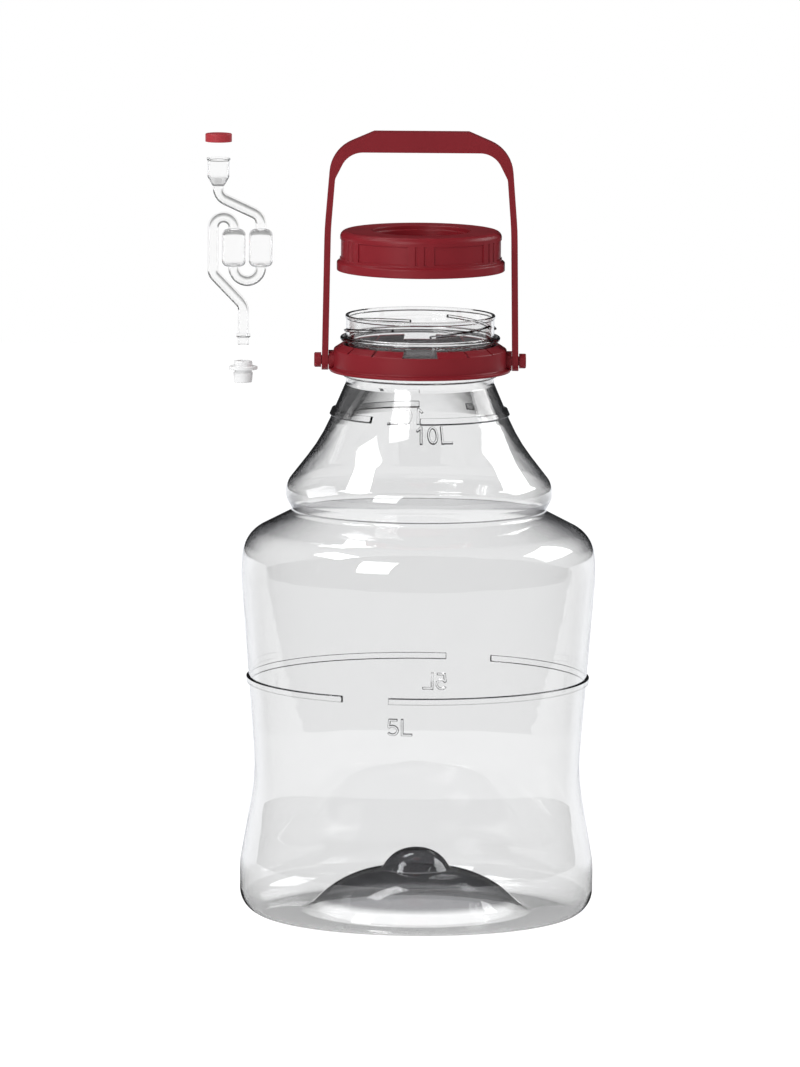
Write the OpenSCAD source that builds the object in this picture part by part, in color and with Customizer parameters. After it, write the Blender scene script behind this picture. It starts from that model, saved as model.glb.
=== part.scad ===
// Wide-mouth fermenting jar: clear blown jar, snap-on collar with a bail handle,
// screw lid with its gasket, and a twin-bulb airlock with its cap and grommet.
// The set is shown apart: the lid hangs over the neck and the airlock beside it.
// Millimetres. The origin is the centre of the jar's base, on its axis, and +Z is up.

/* [Jar body] */
// Radius of the foot bulge
foot_r = 112.9; // [108:0.1:118]
// Radius of the rounded edge between the base and the side
foot_round = 31; // [24:1:34]
// Radius at the waist of the lower body, before rounding
waist_r = 103.3; // [99:0.1:107]
// Height of the waist over the base
waist_z = 90.3; // [80:0.1:100]
// Radius under the shoulder
shoulder_r = 113.4; // [109:0.1:117]
// Height of the crease where the shoulder meets the bell
body_h = 259.9; // [250:0.1:275]
// How far under the crease the shoulder starts to turn in
shoulder_drop = 40.9; // [36:0.1:46]
// How far under the crease the corner of the shoulder lies
shoulder_corner_drop = 16.3; // [13:0.1:20]
// Radius of the shoulder's curve
shoulder_round = 36; // [26:1:40]
// Wall of the blown body
jar_wall = 0.8; // [0.6:0.05:1.2]

/* [Jar base] */
// Radius where the flat standing ring begins
stand_r = 75; // [71:0.5:78]
// Radius at the foot of the punt
punt_r = 67; // [62:0.5:69]
// Height of the foot of the punt over the standing ring
punt_lift = 5.5; // [4:0.1:8]
// Radius of the punt's central knob
knob_r = 21; // [18:0.5:24]
// Height of the shoulder on which the knob stands
knob_foot_z = 27.5; // [24:0.1:31]
// Height of the top of the knob
knob_z = 41; // [38:0.1:45]

/* [Jar bell] */
// Radius of the crease between shoulder and bell
crease_r = 80.4; // [77:0.1:82]
// Radius of the bell's widest ring
bell_r = 84.9; // [83:0.1:87]
// Height of the bell's lower corner over the crease
bell_foot_h = 8.6; // [7:0.1:10]
// Height of the bell's upper corner over the crease
bell_side_h = 17.8; // [15:0.1:20]
// Radius where the bell bends into the cone under the neck
cone_r = 62.9; // [60:0.1:65]
// Height of that bend over the crease
cone_h = 46.1; // [42:0.1:50]
// Height of the neck's root over the crease
bell_h = 82.6; // [78:0.1:88]

/* [Jar neck] */
// Outer radius of the neck
neck_r = 47.3; // [46.9:0.1:47.8]
// Radius of the mouth
mouth_r = 45.8; // [45.5:0.05:46]
// Height of the neck, from its root to the rim
neck_h = 43.5; // [42:0.1:46]
// Outer radius of the rim
rim_r = 47.9; // [47.8:0.05:48]
// Height of the rim's band
rim_h = 2.6; // [2:0.1:3.4]
// Radius of the transfer ring over the collar
ring_r = 51.2; // [50.6:0.1:51.6]
// Thickness of the transfer ring
ring_t = 3; // [2.4:0.1:3.2]
// Distance from the rim down to the foot of the transfer ring
ring_drop = 16.7; // [16.3:0.1:17.2]
// Radius of the small ledge that carries the collar
ledge_r = 49.4; // [49:0.1:50]
// Thickness of that ledge
ledge_t = 3; // [2:0.1:3.4]
// Distance from the rim down to the foot of the collar
collar_drop = 36.2; // [35.6:0.1:36.8]

/* [Thread] */
// Number of thread ridges round the neck, and of lugs in the lid
starts = 4; // [3:1:5]
// Crest radius of the ridges
thread_r = 49.3; // [49:0.05:49.5]
// Width of a ridge at its root
thread_w = 2.4; // [2:0.1:2.8]
// Slope of the ridges, in degrees
thread_slope = 4.6; // [3.5:0.1:5]
// Angle that each ridge covers, in degrees
ridge_sweep = 62; // [44:1:64]
// Angle that each lug covers, in degrees
lug_sweep = 16; // [10:1:18]
// Distance from the rim down to the middle of each ridge
thread_drop = 7.7; // [7.5:0.1:7.9]

/* [Volume rings] */
// Height of the upper volume ring
upper_mark_z = 323.4; // [315:0.1:330]
// Height of the lower volume ring
lower_mark_z = 151.4; // [140:0.1:165]
// Width of a volume ring
mark_w = 3.6; // [2.6:0.1:4.5]
// How far a volume ring stands out of the wall
mark_proud = 0.9; // [0.5:0.1:1.2]
// Angle left open in each half of the upper ring, in degrees
upper_gap = 33; // [20:1:40]
// Angle left open in each half of the lower ring, in degrees
lower_gap = 16; // [10:1:30]

/* [Collar] */
// Outer radius of the collar's skirt
collar_r = 55.3; // [54.6:0.1:56]
// Outer radius of the collar's foot flange
flange_r = 57.8; // [57:0.1:58]
// Thickness of the foot flange
flange_t = 1.8; // [1.4:0.1:2.4]
// Height of the collar's skirt under the fingers
collar_h = 14.2; // [13.6:0.1:14.8]
// Height of the sloping fingers over the skirt
finger_h = 3.4; // [2.8:0.1:4]
// Outer radius at the tips of the fingers
finger_r = 50; // [49.6:0.1:50.6]
// Wall of the collar
collar_wall = 1.8; // [1.4:0.1:2.2]
// Number of fingers, counting the two that are left out
fingers = 16; // [12:2:20]
// Width of the slit between two fingers
slit_w = 1.6; // [1:0.1:2.4]
// Play between the neck and the webs inside the collar
collar_play = 0.5; // [0.3:0.05:0.8]

/* [Pivots] */
// Height of the pivot pins over the collar's foot
pin_up = 6.8; // [6.5:0.1:7.2]
// Radius of the pivot pins
pin_r = 3; // [2.5:0.1:3.4]
// Radius of the pins' heads
head_r = 4.75; // [4.2:0.05:5.4]
// Thickness of the pins' heads
head_t = 4.5; // [3.5:0.1:5.5]
// Radius of the bosses that carry the pins
boss_r = 6.3; // [5.6:0.1:6.4]
// Distance from the axis to the face of a boss
boss_x = 58.5; // [58.2:0.1:59]
// Play between leg and boss, and between leg and head
side_play = 0.3; // [0.2:0.05:0.5]
// Radial play of the eyes on the pins
eye_play = 0.08; // [0.05:0.01:0.1]

/* [Handle] */
// Thickness of the legs
leg_t = 4.1; // [3.4:0.1:4.8]
// Width of the handle, front to back
handle_w = 13; // [11:0.5:16]
// Height of the top of the grip over the pins
handle_h = 146.6; // [140:0.1:155]
// Height of the grip's bar
grip_h = 13; // [10:0.1:15]
// Half length of the grip's flat top
grip_flat = 30.3; // [26:0.1:36]
// How far the legs lean in at mid height
leg_lean = 1.3; // [0.6:0.1:1.8]
// Height of that point over the pins
lean_h = 84; // [74:1:92]
// Half width at the outer corner of the handle
corner_x = 57.6; // [56:0.1:59]
// How far under the top the outer corner lies
corner_drop = 11.8; // [9:0.1:14]
// Radius of the outer corner
corner_round = 42; // [34:1:48]
// Wall of the hollow grip
grip_wall = 1.9; // [1.5:0.1:2.5]
// Number of cells under the grip
grip_cells = 8; // [6:2:12]

/* [Lid] */
// Height of the lid
lid_h = 25.5; // [24.8:0.1:27]
// Outer radius of the lid's skirt
lid_r = 51.8; // [51.6:0.1:52.4]
// Wall of the lid
lid_wall = 1.6; // [1.3:0.05:1.7]
// How far the lid's foot band stands out
band_proud = 1.9; // [1.2:0.1:2.4]
// Height of the foot band
band_h = 5.5; // [4.5:0.1:6.5]
// Radius of the rounded top edge
lid_round = 4; // [2.5:0.1:5]
// Radius of the opening of the well
well_r = 31.4; // [29:0.1:33]
// Depth of the first step of the well
well_step = 2.6; // [1.8:0.1:3.2]
// Width of that step
step_w = 2; // [1.2:0.1:2.6]
// Depth of the well
well_deep = 8; // [7:0.1:8.6]
// Number of grip lobes round the lid
lobes = 6; // [4:1:8]
// Angle that each lobe covers, in degrees
lobe_sweep = 19; // [14:1:24]
// Depth of the panels between the lobes
panel_deep = 0.7; // [0.4:0.05:0.9]
// Play between a lid on the neck and the transfer ring
lid_play = 0.7; // [0.4:0.05:1]
// How far the lid is lifted off the neck
lid_lift = 41.5; // [30:0.1:48]

/* [Gasket] */
// Thickness of the gasket
seal_t = 2; // [1.6:0.1:2.4]
// Width of the gasket
seal_w = 3.9; // [3.2:0.1:4]
// Play over and under the gasket
seal_play = 0.3; // [0.2:0.05:0.4]

/* [Airlock] */
// Distance from the jar's axis to the airlock's stem
airlock_x = 113; // [108:0.5:130]
// Height of the tip of the stem
airlock_z = 366; // [360:0.5:375]
// Outer diameter of the tube
tube_d = 7; // [6:0.1:7.6]
// Wall of the tube and of its bulbs
tube_wall = 1; // [0.7:0.05:1.3]
// Outer radius of the bulbs
bulb_r = 7.6; // [6.8:0.1:8]
// Height of the lower ends of the bulbs over the tip
bulb_z = 50.1; // [48:0.1:53]
// Height of the bulbs
bulb_h = 23.9; // [20:0.1:26]
// How far the first bulb stands beside the stem
first_bulb_x = 10.8; // [10.4:0.1:12]
// How far the second bulb stands beside the stem, on the other side
second_bulb_x = 6.4; // [6:0.1:7]
// How far the long leg stands beside the stem
leg_x = 19.6; // [18.6:0.1:21]
// How far the cup stands beside the stem
cup_x = 16.5; // [15:0.1:18]
// Outer radius of the cup
cup_r = 7; // [6.4:0.1:7.2]
// Radius of the cup's rim
cup_rim_r = 7.6; // [7.4:0.1:8]
// Height of the foot of the cup over the tip
cup_foot_z = 101.7; // [100:0.1:105]
// Height of the cup
cup_h = 17.8; // [15:0.1:22]
// Height of the stop bead over the tip
bead_z = 4.6; // [4:0.1:6]
// Radius of the stop bead
bead_r = 4.5; // [4.2:0.1:5]

/* [Airlock cap and grommet] */
// Height of the cap
cap_h = 5.2; // [4.4:0.1:7]
// Wall of the cap
cap_wall = 0.8; // [0.6:0.05:1]
// Play between cap and cup rim
cap_play = 0.1; // [0.06:0.01:0.2]
// How far the cap is lifted off its cup
cap_lift = 14.4; // [8:0.1:20]
// Radius of the grommet's body
grommet_r = 6.2; // [6:0.05:6.6]
// Radius of the grommet's flange
grommet_flange_r = 9.2; // [8.4:0.1:10]
// Radius of the grommet's groove
groove_r = 5.5; // [5.2:0.05:5.7]
// Play of the groove in the lid's hole
groove_play = 0.1; // [0.05:0.01:0.2]
// Height of the grommet's body under the groove
grommet_body_h = 6.5; // [5:0.1:8]
// Height of the hub over the groove, flange included
grommet_hub_h = 5.5; // [4.5:0.1:7]
// Play between the stem and the grommet's bore
stem_play = 0.05; // [0.03:0.01:0.09]
// How far the grommet hangs under its place on the stem
grommet_drop = 14.8; // [8:0.1:20]

/* [Hidden] */

$fn = 96;
arc_step = 7;
clear_pet = [0.86, 0.89, 0.91, 0.35];
dark_red = [0.51, 0.15, 0.18];
clear_styrene = [0.93, 0.94, 0.95, 0.6];
white_rubber = [0.9, 0.9, 0.9];
seal_grey = [0.82, 0.82, 0.8];

// Heights up the jar.
neck_root_z = body_h + bell_h;
rim_z = neck_root_z + neck_h;
ring_z = rim_z - ring_drop;
collar_z = rim_z - collar_drop;
thread_z = rim_z - thread_drop;
pin_z = collar_z + pin_up;

// The jar's outer side from the standing ring up to the neck's root: radius, height, fillet.
side = [
    [foot_r, 0, foot_round],
    [foot_r + 0.3, foot_round + 2, 60],
    [waist_r, waist_z, 120],
    [shoulder_r, body_h - shoulder_drop, 60],
    [shoulder_r - 1.5, body_h - shoulder_corner_drop, shoulder_round],
    [crease_r, body_h, 2.5],
    [bell_r, body_h + bell_foot_h, 8],
    [bell_r, body_h + bell_side_h, 18],
    [cone_r, body_h + cone_h, 110],
];
// The underside, from the axis out to the standing ring.
underside = [
    [0, knob_z, 0],
    [knob_r - 4, knob_z, 14],
    [knob_r, knob_foot_z, 2.5],
    [punt_r, punt_lift, 12],
    [stand_r, 0, 4],
];
bead_edge = 0.9;
seat_gap = 0.3;
neck_outside = [
    [neck_r, neck_root_z, 6],
    [neck_r, collar_z - seat_gap - ledge_t, 0.6],
    [ledge_r, collar_z - seat_gap - ledge_t, bead_edge],
    [ledge_r, collar_z - seat_gap, bead_edge],
    [neck_r, collar_z - seat_gap, 0.6],
    [neck_r, ring_z, 0.8],
    [ring_r, ring_z, 1.4],
    [ring_r, ring_z + ring_t, 1.4],
    [neck_r, ring_z + ring_t, 0.8],
    [neck_r, rim_z - rim_h, 0.3],
    [rim_r, rim_z - rim_h + 0.5, 0.3],
    [rim_r, rim_z, 1.1],
    [mouth_r + 0.6, rim_z, 0],
];

// The direction from a to b, and the point p without its fillet.
function toward(a, b) = (b - a) / norm(b - a);
function spot(p) = [p[0], p[1]];
function cross2(u, v) = u[0] * v[1] - u[1] * v[0];
function turn_of(a, b, c) = acos(max(-1, min(1, toward(a, b) * toward(b, c))));

// The points of the arc that rounds corner b between a and c. The arc never takes more
// than just under half of either side.
function corner(a, b, c, r) =
    let (turn = turn_of(a, b, c),
         reach = min(r * tan(turn / 2), 0.48 * min(norm(a - b), norm(c - b))))
    turn < 0.05 || reach < 0.001 ? [b] :
    let (radius = reach / tan(turn / 2),
         inward = toward([0, 0], toward(b, a) + toward(b, c)),
         centre = b + inward * radius / cos(turn / 2),
         from = b + toward(b, a) * reach - centre,
         first = atan2(from[1], from[0]),
         way = cross2(b - a, c - b) > 0 ? 1 : -1,
         steps = max(2, ceil(turn / arc_step)))
    [for (k = [0:steps])
        centre + radius * [cos(first + way * turn * k / steps), sin(first + way * turn * k / steps)]];

// A chain of corners as an outline, with its ends as they are.
function outline(chain) =
    [for (i = [0:len(chain) - 1])
        each (i == 0 || i == len(chain) - 1 || chain[i][2] == 0)
            ? [spot(chain[i])]
            : corner(spot(chain[i - 1]), spot(chain[i]), spot(chain[i + 1]), chain[i][2])];

// The chain moved to its left by a wall, with its fillets changed to suit.
function left_of(a, b) = [-(b - a)[1], (b - a)[0]] / norm(b - a);
function moved_corner(chain, i, wall) =
    let (here = spot(chain[i]),
         n1 = i == 0 ? left_of(here, spot(chain[1])) : left_of(spot(chain[i - 1]), here),
         n2 = i == len(chain) - 1 ? n1 : left_of(here, spot(chain[i + 1])),
         turns_left = i > 0 && i < len(chain) - 1
             && cross2(here - spot(chain[i - 1]), spot(chain[i + 1]) - here) > 0,
         place = here + wall * (n1 + n2) / (1 + n1 * n2))
    [place[0], place[1], max(0, chain[i][2] + (turns_left ? -wall : wall))];
function moved_left(chain, wall) = [for (i = [0:len(chain) - 1]) moved_corner(chain, i, wall)];
function backward(list) = [for (i = [len(list) - 1:-1:0]) list[i]];

// The jar's outer radius at a height on its side.
side_by_height = [for (p = outline(concat(side, [[neck_r, neck_root_z, 0]]))) [p[1], p[0]]];
function side_r(z) = lookup(z, side_by_height);

// One raised bar of a volume ring, from one angle over a sweep.
module mark_bar(z, from, sweep) {
    half = mark_w / 2;
    root = jar_wall * 0.6;
    edge = 0.3;
    rotate([0, 0, from])
        rotate_extrude(angle = sweep)
            polygon([
                [side_r(z - half) - root, z - half],
                [side_r(z - half) + mark_proud * 0.8, z - half + edge],
                [side_r(z) + mark_proud, z],
                [side_r(z + half) + mark_proud * 0.8, z + half - edge],
                [side_r(z + half) - root, z + half],
            ]);
}

// A slanted ridge on a cylinder: its middle is at an angle and a height.
module ridge(middle, z, sweep, root_r, crest_r, width) {
    rotate([0, 0, middle])
        translate([0, 0, z])
            rotate([thread_slope, 0, 0])
                rotate([0, 0, -sweep / 2])
                    rotate_extrude(angle = sweep)
                        polygon([
                            [root_r, -width / 2],
                            [crest_r, -width / 4],
                            [crest_r, width / 4],
                            [root_r, width / 2],
                        ]);
}

// Angle of the middle of the first ridge, and of the gap beside it.
ridge_at = -90 + 38;
gap_at = ridge_at + 180 / starts;
// How deep ridges, lugs, bosses and webs start inside the wall that carries them.
ridge_root = 0.6;
boss_root = 1.4;

module jar() {
    outer = concat(underside, side, neck_outside);
    inner = concat(
        moved_left(concat(underside, side), jar_wall),
        [[mouth_r, neck_root_z - 1, 6], [mouth_r, rim_z - 0.6, 0]]);
    color(clear_pet) {
        rotate_extrude()
            polygon(concat(outline(outer), backward(outline(inner))));
        for (k = [0:starts - 1])
            ridge(ridge_at + k * 360 / starts, thread_z, ridge_sweep,
                  neck_r - ridge_root, thread_r, thread_w);
        for (half = [0, 180]) {
            mark_bar(upper_mark_z, half - 90, 180 - upper_gap);
            mark_bar(lower_mark_z, half - 100, 180 - lower_gap);
        }
    }
}

// Collar.
skirt_in = collar_r - collar_wall;
finger_step = 360 / fingers;
head_x = boss_x + leg_t + 2 * side_play;
head_edge = 0.6;
collar_web_t = 1.2;

module pivot(side_sign) {
    scale([side_sign, 1, 1]) translate([0, 0, pin_z]) rotate([0, 90, 0]) {
        translate([0, 0, collar_r - boss_root]) cylinder(r = boss_r, h = boss_x - collar_r + boss_root);
        translate([0, 0, boss_x - 1]) cylinder(r = pin_r, h = head_x - boss_x + 2);
        translate([0, 0, head_x]) cylinder(r = head_r, h = head_t - head_edge);
        translate([0, 0, head_x + head_t - head_edge])
            cylinder(r1 = head_r, r2 = head_r - head_edge, h = head_edge);
    }
}

module neck_collar() {
    top_z = collar_z + collar_h;
    color(dark_red) {
        difference() {
            rotate_extrude()
                polygon(outline([
                    [skirt_in, collar_z, 0],
                    [flange_r, collar_z, 0.5],
                    [flange_r, collar_z + flange_t, 0.5],
                    [collar_r, collar_z + flange_t + 0.6, 1],
                    [collar_r, top_z, 1.2],
                    [finger_r, top_z + finger_h, 0.4],
                    [finger_r - 1.5, top_z + finger_h - 0.6, 0.2],
                    [skirt_in, top_z - 1.2, 1],
                    [skirt_in, collar_z + 1, 0],
                ]));
            for (k = [0:fingers - 1])
                rotate([0, 0, (k + 0.5) * finger_step])
                    translate([finger_r - 4, -slit_w / 2, top_z - 0.4])
                        cube([10, slit_w, finger_h + 2]);
            for (front = [-90, 90])
                rotate([0, 0, front - finger_step / 2])
                    rotate_extrude(angle = finger_step)
                        translate([finger_r - 4, top_z - 0.4])
                            square([10, finger_h + 2]);
        }
        for (k = [0:fingers - 1])
            if (k % (fingers / 2) != fingers / 4)
                rotate([0, 0, k * finger_step])
                    translate([neck_r + collar_play, -collar_web_t / 2, collar_z])
                        cube([skirt_in - neck_r - collar_play + ridge_root, collar_web_t, collar_h - 2.5]);
        pivot(1);
        pivot(-1);
    }
}

// Handle, drawn from the pins up: half width and height over the pins.
handle_outer = [
    [boss_x + side_play + leg_t, -handle_w / 2 - 1, 0],
    [boss_x + side_play + leg_t - leg_lean, lean_h, 200],
    [corner_x, handle_h - corner_drop, corner_round],
    [grip_flat, handle_h, 3],
    [0, handle_h, 0],
];
under_x = corner_x - leg_t;
cell_web = 1.4;
handle_inner = [
    [boss_x + side_play, -handle_w / 2 - 1, 0],
    [boss_x + side_play - leg_lean, lean_h, 200],
    [under_x + 1.5, handle_h - grip_h - 17, 5],
    [under_x - 7, handle_h - grip_h, 22],
    [0, handle_h - grip_h, 0],
];
grip_top = backward(outline(handle_outer));
function grip_under_top(x) = lookup(abs(x), grip_top) - grip_wall;

module handle_cell(from, to) {
    pieces = 3;
    low = handle_h - grip_h - 12;
    rotate([90, 0, 0])
        linear_extrude(height = handle_w - 2 * grip_wall, center = true)
            polygon(concat(
                [[from, low], [to, low]],
                [for (k = [pieces:-1:0])
                    let (x = from + (to - from) * k / pieces) [x, grip_under_top(x)]]));
}

module handle() {
    right = outline(handle_outer);
    under = outline(handle_inner);
    whole = concat(
        right,
        [for (p = backward(right)) if (p[0] > 0) [-p[0], p[1]]],
        [for (p = under) if (p[0] > 0) [-p[0], p[1]]],
        backward(under));
    cell_w = 2 * (under_x - 6) / grip_cells;
    color(dark_red)
        translate([0, 0, pin_z])
            difference() {
                intersection() {
                    rotate([90, 0, 0])
                        linear_extrude(height = handle_w, center = true)
                            polygon(whole);
                    union() {
                        rotate([0, 90, 0])
                            cylinder(r = handle_w / 2, h = 3 * corner_x, center = true);
                        translate([-1.5 * corner_x, -handle_w / 2, 0])
                            cube([3 * corner_x, handle_w, handle_h + 1]);
                    }
                }
                rotate([0, 90, 0])
                    cylinder(r = pin_r + eye_play, h = 3 * corner_x, center = true);
                for (k = [0:grip_cells - 1])
                    handle_cell((k - grip_cells / 2) * cell_w + cell_web / 2,
                                (k + 1 - grip_cells / 2) * cell_w - cell_web / 2);
            }
}

// Lid and gasket, drawn over the lid's foot.
lid_seat_z = ring_z + ring_t + lid_play;
lid_z = lid_seat_z + lid_lift;
seal_low = rim_z - lid_seat_z + seal_play;
land_low = seal_low + seal_t + seal_play;
skirt_bore = lid_r - lid_wall;
plug_r = mouth_r - 0.4;
plug_wall = 1.5;
plug_deep = 4.2;
press_w = 1.6;
lid_web_t = 1;
skirt_webs = 24;
well_webs = 12;
floor_top = lid_h - well_deep;
under_top = lid_h - 2;
hole_r = groove_r + groove_play;

module lid_shell() {
    inner_well = well_r - step_w;
    rotate_extrude()
        polygon(outline([
            [hole_r, floor_top - lid_wall, 0],
            [inner_well + lid_wall, floor_top - lid_wall, 1.5],
            [inner_well + lid_wall, lid_h - well_step - lid_wall, 0.5],
            [well_r + lid_wall, lid_h - well_step - lid_wall, 0.5],
            [well_r + lid_wall, under_top, 0.5],
            [skirt_bore, under_top, 1.5],
            [skirt_bore, 0, 0.3],
            [lid_r + band_proud, 0, 0.6],
            [lid_r + band_proud, band_h, 1.2],
            [lid_r, band_h + 1.4, 0.6],
            [lid_r - 0.2, lid_h, lid_round],
            [well_r, lid_h, 0.8],
            [well_r, lid_h - well_step, 0.4],
            [inner_well, lid_h - well_step, 0.5],
            [inner_well, floor_top, 1],
            [hole_r, floor_top, 0],
        ]));
}

module lid() {
    lobe_step = 360 / lobes;
    panel_low = band_h + 2.6;
    panel_high = lid_h - lid_round - 1.2;
    color(dark_red)
        translate([0, 0, lid_z]) {
            difference() {
                lid_shell();
                for (k = [0:lobes - 1])
                    rotate([0, 0, -90 + k * lobe_step]) {
                        rotate([0, 0, lobe_sweep / 2])
                            rotate_extrude(angle = lobe_step - lobe_sweep)
                                polygon([
                                    [lid_r - panel_deep, panel_low + 0.6],
                                    [lid_r + 1, panel_low - 0.6],
                                    [lid_r + 1, panel_high + 0.6],
                                    [lid_r - panel_deep, panel_high - 0.6],
                                ]);
                        for (a = [-1, 1])
                            rotate([0, 0, a * lobe_sweep / 6])
                                translate([lid_r + 0.35, 0, panel_low])
                                    cylinder(r = 1.1, h = panel_high - panel_low, $fn = 24);
                    }
            }
            // The ring that presses on the gasket, the plug that enters the mouth, and their webs.
            rotate_extrude()
                translate([plug_r + 1.5, land_low])
                    square([press_w, under_top - land_low + ridge_root]);
            rotate_extrude()
                polygon([
                    [plug_r - plug_wall, seal_low - plug_deep],
                    [plug_r - 0.5, seal_low - plug_deep],
                    [plug_r, seal_low - plug_deep + 1.2],
                    [plug_r, under_top + ridge_root],
                    [plug_r - plug_wall, under_top + ridge_root],
                ]);
            for (k = [0:skirt_webs - 1])
                rotate([0, 0, (k + 0.5) * 360 / skirt_webs])
                    translate([plug_r - ridge_root, -lid_web_t / 2, land_low])
                        cube([skirt_bore - plug_r + 2 * ridge_root, lid_web_t,
                              under_top - land_low + ridge_root]);
            for (k = [0:well_webs - 1])
                rotate([0, 0, k * 360 / well_webs])
                    translate([well_r + lid_wall - ridge_root, -lid_web_t / 2, under_top - 4])
                        cube([plug_r - plug_wall - well_r - lid_wall + 2 * ridge_root, lid_web_t,
                              4 + ridge_root]);
            for (k = [0:starts - 1])
                ridge(gap_at + k * 360 / starts, lug_z, lug_sweep, skirt_bore + ridge_root, lug_r, lug_w);
        }
}
lug_r = rim_r + 0.4;
lug_w = 0.75 * thread_w;
lug_play = 0.35;
// Turned by lid_turn, each lug lies under a ridge with a little play.
lid_turn = 60;
lug_z = thread_z - lid_seat_z
    + neck_r * tan(thread_slope) * sin(180 / starts - lid_turn)
    - (thread_w + lug_w) / 2 - lug_play;

module lid_seal() {
    color(seal_grey)
        translate([0, 0, lid_z + seal_low])
            rotate_extrude()
                polygon(outline([
                    [plug_r + 0.4, 0, 0],
                    [plug_r + 0.4 + seal_w, 0, 0.4],
                    [plug_r + 0.4 + seal_w, seal_t, 0.4],
                    [plug_r + 0.4, seal_t, 0.4],
                    [plug_r + 0.4, 0.4, 0],
                ]));
}

// Airlock, drawn in the plane of its tube: beside the stem, and over the stem's tip.
bulb_top = bulb_z + bulb_h;
bulb_round = 5.4;
bead_t = 2.3;
u_round = (first_bulb_x + second_bulb_x) / 2;
arch_round = (leg_x - second_bulb_x) / 2;
arch_z = bulb_top + 1;
u_z = bulb_z - 0.6;
lap = 0.25;
bend_slack = 0.2;
down_route = [
    [-cup_x, cup_foot_z + 2, 0],
    [-cup_x, cup_foot_z - 6.8, 7.7],
    [first_bulb_x, bulb_top + 8.4, 7.7],
    [first_bulb_x, u_z, 0],
];
up_route = [[-second_bulb_x, u_z, 0], [-second_bulb_x, arch_z, 0]];
leg_route = [
    [-leg_x, arch_z, 0],
    [-leg_x, bulb_z - 4.7, 5.2],
    [0, 25, 9],
    [0, 0, 0],
];
// How much of the stretch beside point i its bend takes.
function reach_at(route, i) = (i == 0 || i == len(route) - 1) ? 0 :
    route[i][2] * tan(turn_of(spot(route[i - 1]), spot(route[i]), spot(route[i + 1])) / 2);

// A bend of the tube in its plane. It is a hair thinner than the stretches, which lap over it.
module bend(centre, radius, first, sweep, d) {
    translate([centre[0], centre[1], 0])
        rotate([0, 0, first])
            rotate_extrude(angle = sweep)
                translate([radius, 0])
                    circle(d = d - bend_slack, $fn = 48);
}

// Straight stretches and bends along one route. The tail lengthens its last stretch.
module tube_run(route, d, tail) {
    last = len(route) - 1;
    for (i = [0:last - 1]) {
        a = spot(route[i]);
        b = spot(route[i + 1]);
        way = toward(a, b);
        start = a + way * (reach_at(route, i) - lap);
        end = b - way * (reach_at(route, i + 1) - (i == last - 1 ? tail : lap));
        translate([start[0], start[1], 0])
            rotate([0, 0, atan2(way[1], way[0])])
                rotate([0, 90, 0])
                    cylinder(d = d, h = norm(end - start));
    }
    for (i = [1:1:last - 1]) {
        a = spot(route[i - 1]);
        b = spot(route[i]);
        c = spot(route[i + 1]);
        turn = turn_of(a, b, c);
        centre = b + toward([0, 0], toward(b, a) + toward(b, c)) * route[i][2] / cos(turn / 2);
        from = b + toward(b, a) * reach_at(route, i) - centre;
        to = b + toward(b, c) * reach_at(route, i) - centre;
        first = cross2(from, to) > 0 ? from : to;
        bend(centre, route[i][2], atan2(first[1], first[0]), turn, d);
    }
}

module tube(d, tail) {
    tube_run(down_route, d, lap);
    bend([(first_bulb_x - second_bulb_x) / 2, u_z], u_round, 180, 180, d);
    tube_run(up_route, d, lap);
    bend([-(leg_x + second_bulb_x) / 2, arch_z], arch_round, 0, 180, d);
    tube_run(leg_route, d, tail);
}

module bulb(x, wall) {
    r = bulb_r - wall;
    low = bulb_z + wall;
    high = bulb_top - wall;
    translate([x, 0, 0])
        rotate([-90, 0, 0])
            rotate_extrude($fn = 64)
                polygon(outline([
                    [0, low, 0], [r, low, bulb_round - wall],
                    [r, high, bulb_round - wall], [0, high, 0]]));
}

module cup(wall) {
    r = cup_r - wall;
    top = cup_foot_z + cup_h;
    translate([-cup_x, 0, 0])
        rotate([-90, 0, 0])
            rotate_extrude($fn = 64)
                polygon(wall == 0
                    ? outline([
                        [0, cup_foot_z, 0], [tube_d / 2 + 0.3, cup_foot_z, 0.8], [r, cup_foot_z + 5.8, 3.5],
                        [r, top - 1.6, 0.4], [cup_rim_r, top - 1.2, 0.3], [cup_rim_r, top, 0.3], [0, top, 0]])
                    : outline([
                        [0, cup_foot_z + wall, 0], [tube_d / 2, cup_foot_z + wall, 0.6],
                        [r, cup_foot_z + 5.8 + wall, 3.5], [r, top + 1, 0], [0, top + 1, 0]]));
}

module airlock_tube() {
    color(clear_styrene)
        translate([-airlock_x, 0, airlock_z])
            rotate([90, 0, 0])
                difference() {
                    union() {
                        tube(tube_d, 0);
                        bulb(first_bulb_x, 0);
                        bulb(-second_bulb_x, 0);
                        cup(0);
                        translate([0, bead_z, 0])
                            rotate([-90, 0, 0])
                                rotate_extrude()
                                    polygon(outline([
                                        [0, 0, 0], [bead_r, 0, 0.7],
                                        [bead_r, bead_t, 0.7], [0, bead_t, 0]]));
                    }
                    tube(tube_d - 2 * tube_wall, 1);
                    bulb(first_bulb_x, tube_wall);
                    bulb(-second_bulb_x, tube_wall);
                    cup(tube_wall);
                }
}

// The cap is lifted straight up from its place on the cup.
module airlock_cap() {
    r = cup_rim_r + cap_play;
    seat = cup_foot_z + cup_h + seat_gap - (cap_h - 1);
    color(dark_red)
        translate([-airlock_x - cup_x, 0, airlock_z + seat + cap_lift])
            rotate_extrude()
                polygon(outline([
                    [0, cap_h - 1, 0], [r, cap_h - 1, 0.3], [r, 0, 0.2],
                    [r + cap_wall, 0, 0.2], [r + cap_wall, cap_h, 0.7], [0, cap_h, 0]]));
}

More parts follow.
